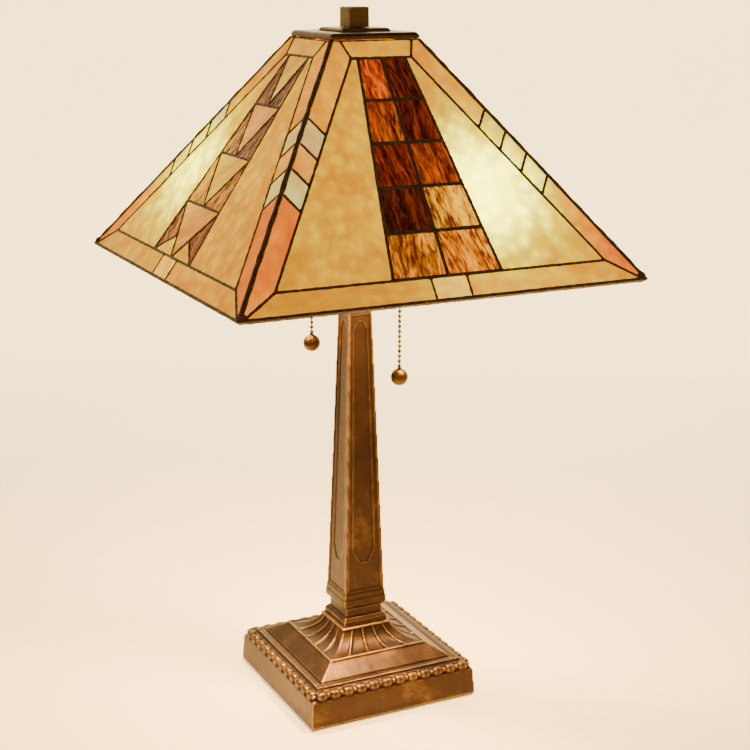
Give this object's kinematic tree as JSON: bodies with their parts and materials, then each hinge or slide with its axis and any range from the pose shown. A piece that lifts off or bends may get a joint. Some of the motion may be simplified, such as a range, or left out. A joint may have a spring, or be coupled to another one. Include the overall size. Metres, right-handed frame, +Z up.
{
  "type": "stained glass table lamp",
  "caption": "Two-light table lamp with a four-sided leaded glass shade, a tapered square bronze column, a stepped square base with a fluted riser, and ball-ended pull chains.",
  "frame": {"origin": "centre of the footprint, on the surface the lamp stands on", "axes": "+Z up; the panel with the block pattern faces -Y and its twin +Y; the arrow pattern panels face -X and +X"},
  "size_m": [0.3572, 0.3572, 0.6031],
  "materials": {
    "bronze_casting": "antique bronze, rubbed and lacquered",
    "bronze_sheet": "antique bronze, satin",
    "patinated_came": "solder with a dark copper patina",
    "black_steel": "blackened",
    "iron": "raw",
    "felt": "pressed felt",
    "rubber": "matt",
    "phenolic": "moulded",
    "brass": "antiqued",
    "bulb_glass": "frosted",
    "border_glass": "amber opalescent, wispy",
    "field_glass": "amber and cream opalescent, mottled",
    "block_glass": "red brown, rippled",
    "arrow_glass": "cream opalescent, streaked",
    "dark_glass": "red brown, rippled"
  },
  "bodies": {
    "stand": {"back_chain_guide": "bronze_sheet", "back_screw_shell": "brass", "back_socket_cap": "bronze_sheet", "back_socket_core": "phenolic", "back_socket_nipple": "black_steel", "back_socket_shell": "bronze_sheet", "base_casting": "bronze_casting", "base_nut": "black_steel", "base_washer": "black_steel", "base_weight": "iron", "cluster_hub": "bronze_sheet", "column_cap": "bronze_casting", "column_collar": "bronze_casting", "column_shaft": "bronze_casting", "cord_grommet": "rubber", "felt_pad": "felt", "front_chain_guide": "bronze_sheet", "front_screw_shell": "brass", "front_socket_cap": "bronze_sheet", "front_socket_core": "phenolic", "front_socket_nipple": "black_steel", "front_socket_shell": "bronze_sheet", "lamp_pipe": "black_steel", "neck_sleeve": "bronze_sheet", "shade_rest_nut": "bronze_sheet", "shade_stem": "black_steel"},
    "shade": {"back_block_glass": "block_glass", "back_border_glass": "border_glass", "back_came": "patinated_came", "back_field_glass": "field_glass", "bottom_rim": "patinated_came", "cap_ring": "bronze_sheet", "finial_plate": "bronze_casting", "front_block_glass": "block_glass", "front_border_glass": "border_glass", "front_came": "patinated_came", "front_field_glass": "field_glass", "hip_bars": "patinated_came", "left_arrow_glass": "arrow_glass", "left_border_glass": "border_glass", "left_came": "patinated_came", "left_dark_glass": "dark_glass", "left_field_glass": "field_glass", "right_arrow_glass": "arrow_glass", "right_border_glass": "border_glass", "right_came": "patinated_came", "right_dark_glass": "dark_glass", "right_field_glass": "field_glass", "shade_cap": "bronze_casting"},
    "finial": {"finial": "bronze_casting"},
    "front_bulb": {"front_bulb_glass": "bulb_glass", "front_bulb_base": "brass"},
    "front_pull": {"front_pull_link": "brass"},
    "front_tail": {"front_pull_chain": "brass", "front_pull_ball": "brass"},
    "back_bulb": {"back_bulb_glass": "bulb_glass", "back_bulb_base": "brass"},
    "back_pull": {"back_pull_link": "brass"},
    "back_tail": {"back_pull_chain": "brass", "back_pull_ball": "brass"}
  },
  "joints": [
    {"name": "shade_turn", "type": "hinge", "parent": "stand", "child": "shade", "pos_m": [0, 0, 0.5746], "axis": [0, 0, 1], "continuous": true},
    {"name": "finial_turn", "type": "hinge", "parent": "stand", "child": "finial", "pos_m": [0, 0, 0.5868], "axis": [0, 0, 1], "continuous": true},
    {"name": "front_bulb_turn", "type": "hinge", "parent": "stand", "child": "front_bulb", "pos_m": [0.03471, -0.04137, 0.424], "axis": [0.6428, -0.766, 0], "continuous": true},
    {"name": "front_pull", "type": "slide", "parent": "stand", "child": "front_pull", "axis": [0, 0, -1], "range_m": [0, 0.008], "stiffness_N_per_m": 500, "springref_m": -0.003},
    {"name": "front_tail_swing", "type": "hinge", "parent": "front_pull", "child": "front_tail", "pos_m": [0.027, -0.03217, 0.397], "axis": [0.6428, -0.766, 0], "range_deg": [-20, 20]},
    {"name": "back_bulb_turn", "type": "hinge", "parent": "stand", "child": "back_bulb", "pos_m": [-0.03471, 0.04137, 0.424], "axis": [-0.6428, 0.766, 0], "continuous": true},
    {"name": "back_pull", "type": "slide", "parent": "stand", "child": "back_pull", "axis": [0, 0, -1], "range_m": [0, 0.008], "stiffness_N_per_m": 500, "springref_m": -0.003},
    {"name": "back_tail_swing", "type": "hinge", "parent": "back_pull", "child": "back_tail", "pos_m": [-0.027, 0.03217, 0.397], "axis": [-0.6428, 0.766, 0], "range_deg": [-20, 20]}
  ]
}
